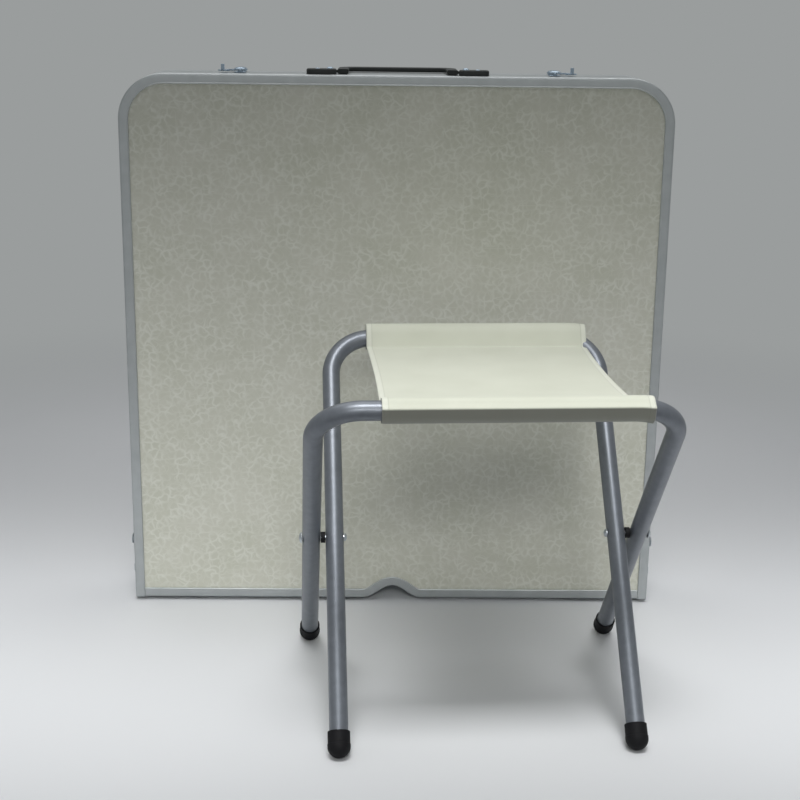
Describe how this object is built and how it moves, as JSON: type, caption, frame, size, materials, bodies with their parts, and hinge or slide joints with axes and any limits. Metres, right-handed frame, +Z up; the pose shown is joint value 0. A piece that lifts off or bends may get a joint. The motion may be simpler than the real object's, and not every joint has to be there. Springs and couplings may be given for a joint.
{
  "type": "folding picnic table with stool",
  "caption": "Folding table that closes into a carrying case with aluminium rails, standing on its hinge edge behind an open folding stool with a cloth seat.",
  "frame": {"origin": "middle of the footprint of the closed case and the open stool, on the floor", "axes": "+Z up; -Y the way the front face of the closed case and the stool look; +X to the right seen from the front"},
  "size_m": [0.61, 0.454, 0.6134],
  "materials": {
    "board": "satin laminate with a fine crackle pattern",
    "rail": "anodised satin",
    "steel": "zinc plated",
    "zinc": "blue zinc plated",
    "tube": "silver-grey gloss paint",
    "cloth": "ivory woven polyester",
    "rubber": "black moulded rubber",
    "handle": "dark grey moulded plastic"
  },
  "bodies": {
    "case_front": {"front_panel": "board", "front_edge_rail": "rail", "front_centre_rail": "rail", "front_hinge_leaf_left": "steel", "front_hinge_leaf_right": "steel", "hinge_pin_left": "steel", "hinge_pin_right": "steel", "handle_mount_left": "handle", "handle_mount_right": "handle", "latch_stud_left": "zinc", "latch_stud_right": "zinc", "bolt_guide_left": "steel", "bolt_guide_right": "steel", "front_leg_bracket_left": "steel", "front_leg_bracket_right": "steel"},
    "case_rear": {"rear_panel": "board", "rear_edge_rail": "rail", "rear_centre_rail": "rail", "rear_hinge_leaf_left": "steel", "rear_hinge_leaf_right": "steel", "bolt_keeper_left": "steel", "bolt_keeper_right": "steel", "rear_leg_bracket_left": "steel", "rear_leg_bracket_right": "steel"},
    "handle": {"carry_handle": "handle"},
    "latch_hook_left": {"latch_hook_left": "zinc"},
    "side_bolt_left": {"side_bolt_left": "steel"},
    "latch_hook_right": {"latch_hook_right": "zinc"},
    "side_bolt_right": {"side_bolt_right": "steel"},
    "front_legs": {"front_leg_frame": "tube"},
    "front_inner_leg_left": {"front_inner_leg_left": "rail", "front_leg_foot_left": "rubber"},
    "front_stay_tray_left": {"front_stay_tray_link_left": "steel"},
    "front_stay_leg_left": {"front_stay_leg_link_left": "steel"},
    "front_inner_leg_right": {"front_inner_leg_right": "rail", "front_leg_foot_right": "rubber"},
    "front_stay_tray_right": {"front_stay_tray_link_right": "steel"},
    "front_stay_leg_right": {"front_stay_leg_link_right": "steel"},
    "rear_legs": {"rear_leg_frame": "tube"},
    "rear_inner_leg_left": {"rear_inner_leg_left": "rail", "rear_leg_foot_left": "rubber"},
    "rear_stay_tray_left": {"rear_stay_tray_link_left": "steel"},
    "rear_stay_leg_left": {"rear_stay_leg_link_left": "steel"},
    "rear_inner_leg_right": {"rear_inner_leg_right": "rail", "rear_leg_foot_right": "rubber"},
    "rear_stay_tray_right": {"rear_stay_tray_link_right": "steel"},
    "rear_stay_leg_right": {"rear_stay_leg_link_right": "steel"},
    "stool_outer": {"stool_outer_frame": "tube", "stool_outer_foot_left": "rubber", "stool_outer_foot_right": "rubber", "stool_pivot_bolt_left": "steel", "stool_pivot_bolt_right": "steel", "stool_spacer_left": "rubber", "stool_spacer_right": "rubber", "seat_sling": "cloth"},
    "stool_inner": {"stool_inner_frame": "tube", "stool_inner_foot_left": "rubber", "stool_inner_foot_right": "rubber"}
  },
  "joints": [
    {"name": "case_fold", "type": "hinge", "parent": "case_front", "child": "case_rear", "pos_m": [0, 0.19168, 0.004], "axis": [-1, 0, 0], "range_deg": [0, 180]},
    {"name": "handle_turn", "type": "hinge", "parent": "case_front", "child": "handle", "pos_m": [0, 0.16968, 0.6075], "axis": [1, 0, 0], "range_deg": [0, 90]},
    {"name": "latch_swing_left", "type": "hinge", "parent": "case_rear", "child": "latch_hook_left", "pos_m": [-0.17, 0.20368, 0.6062], "axis": [0, 0, 1], "range_deg": [0, 35]},
    {"name": "bolt_slide_left", "type": "slide", "parent": "case_front", "child": "side_bolt_left", "axis": [0, 0, -1], "range_m": [0, 0.024]},
    {"name": "latch_swing_right", "type": "hinge", "parent": "case_rear", "child": "latch_hook_right", "pos_m": [0.17, 0.20368, 0.6062], "axis": [0, 0, -1], "range_deg": [0, 35]},
    {"name": "bolt_slide_right", "type": "slide", "parent": "case_front", "child": "side_bolt_right", "axis": [0, 0, -1], "range_m": [0, 0.024]},
    {"name": "front_legs_turn", "type": "hinge", "parent": "case_front", "child": "front_legs", "pos_m": [0, 0.17718, 0.571], "axis": [1, 0, 0], "range_deg": [0, 90.01]},
    {"name": "front_leg_slide_left", "type": "slide", "parent": "front_legs", "child": "front_inner_leg_left", "axis": [0, 0, -1], "range_m": [0, 0.13]},
    {"name": "front_stay_tray_turn_left", "type": "hinge", "parent": "case_front", "child": "front_stay_tray_left", "pos_m": [-0.263, 0.17718, 0.336], "axis": [-1, 0, 0], "range_deg": [0, 32.57]},
    {"name": "front_stay_leg_turn_left", "type": "hinge", "parent": "front_legs", "child": "front_stay_leg_left", "pos_m": [-0.263, 0.17718, 0.421], "axis": [1, 0, 0], "range_deg": [0, 57.46]},
    {"name": "front_leg_slide_right", "type": "slide", "parent": "front_legs", "child": "front_inner_leg_right", "axis": [0, 0, -1], "range_m": [0, 0.13]},
    {"name": "front_stay_tray_turn_right", "type": "hinge", "parent": "case_front", "child": "front_stay_tray_right", "pos_m": [0.263, 0.17718, 0.336], "axis": [-1, 0, 0], "range_deg": [0, 32.57]},
    {"name": "front_stay_leg_turn_right", "type": "hinge", "parent": "front_legs", "child": "front_stay_leg_right", "pos_m": [0.263, 0.17718, 0.421], "axis": [1, 0, 0], "range_deg": [0, 57.46]},
    {"name": "rear_legs_turn", "type": "hinge", "parent": "case_rear", "child": "rear_legs", "pos_m": [0, 0.20618, 0.571], "axis": [-1, 0, 0], "range_deg": [0, 90.01]},
    {"name": "rear_leg_slide_left", "type": "slide", "parent": "rear_legs", "child": "rear_inner_leg_left", "axis": [0, 0, -1], "range_m": [0, 0.13]},
    {"name": "rear_stay_tray_turn_left", "type": "hinge", "parent": "case_rear", "child": "rear_stay_tray_left", "pos_m": [-0.233, 0.20618, 0.336], "axis": [1, 0, 0], "range_deg": [0, 32.57]},
    {"name": "rear_stay_leg_turn_left", "type": "hinge", "parent": "rear_legs", "child": "rear_stay_leg_left", "pos_m": [-0.233, 0.20618, 0.421], "axis": [-1, 0, 0], "range_deg": [0, 57.46]},
    {"name": "rear_leg_slide_right", "type": "slide", "parent": "rear_legs", "child": "rear_inner_leg_right", "axis": [0, 0, -1], "range_m": [0, 0.13]},
    {"name": "rear_stay_tray_turn_right", "type": "hinge", "parent": "case_rear", "child": "rear_stay_tray_right", "pos_m": [0.233, 0.20618, 0.336], "axis": [1, 0, 0], "range_deg": [0, 32.57]},
    {"name": "rear_stay_leg_turn_right", "type": "hinge", "parent": "rear_legs", "child": "rear_stay_leg_right", "pos_m": [0.233, 0.20618, 0.421], "axis": [-1, 0, 0], "range_deg": [0, 57.46]},
    {"name": "stool_away", "type": "slide", "parent": "case_front", "child": "stool_outer", "axis": [0, -1, 0], "range_m": [0, 0.3]},
    {"name": "stool_fold", "type": "hinge", "parent": "stool_outer", "child": "stool_inner", "pos_m": [0.08, -0.07032, 0.16941], "axis": [0.9981, 0.061, 0], "range_deg": [0, 71], "deforming": ["seat_sling"]}
  ],
  "couplings": [
    {"joint": "front_legs_turn", "follows": "case_fold", "ratio": 0.5},
    {"joint": "front_stay_tray_turn_left", "follows": "case_fold", "ratio": 0.18083},
    {"joint": "front_stay_leg_turn_left", "follows": "case_fold", "ratio": 0.31917},
    {"joint": "front_stay_tray_turn_right", "follows": "case_fold", "ratio": 0.18083},
    {"joint": "front_stay_leg_turn_right", "follows": "case_fold", "ratio": 0.31917},
    {"joint": "rear_legs_turn", "follows": "case_fold", "ratio": 0.5},
    {"joint": "rear_stay_tray_turn_left", "follows": "case_fold", "ratio": 0.18083},
    {"joint": "rear_stay_leg_turn_left", "follows": "case_fold", "ratio": 0.31917},
    {"joint": "rear_stay_tray_turn_right", "follows": "case_fold", "ratio": 0.18083},
    {"joint": "rear_stay_leg_turn_right", "follows": "case_fold", "ratio": 0.31917}
  ]
}
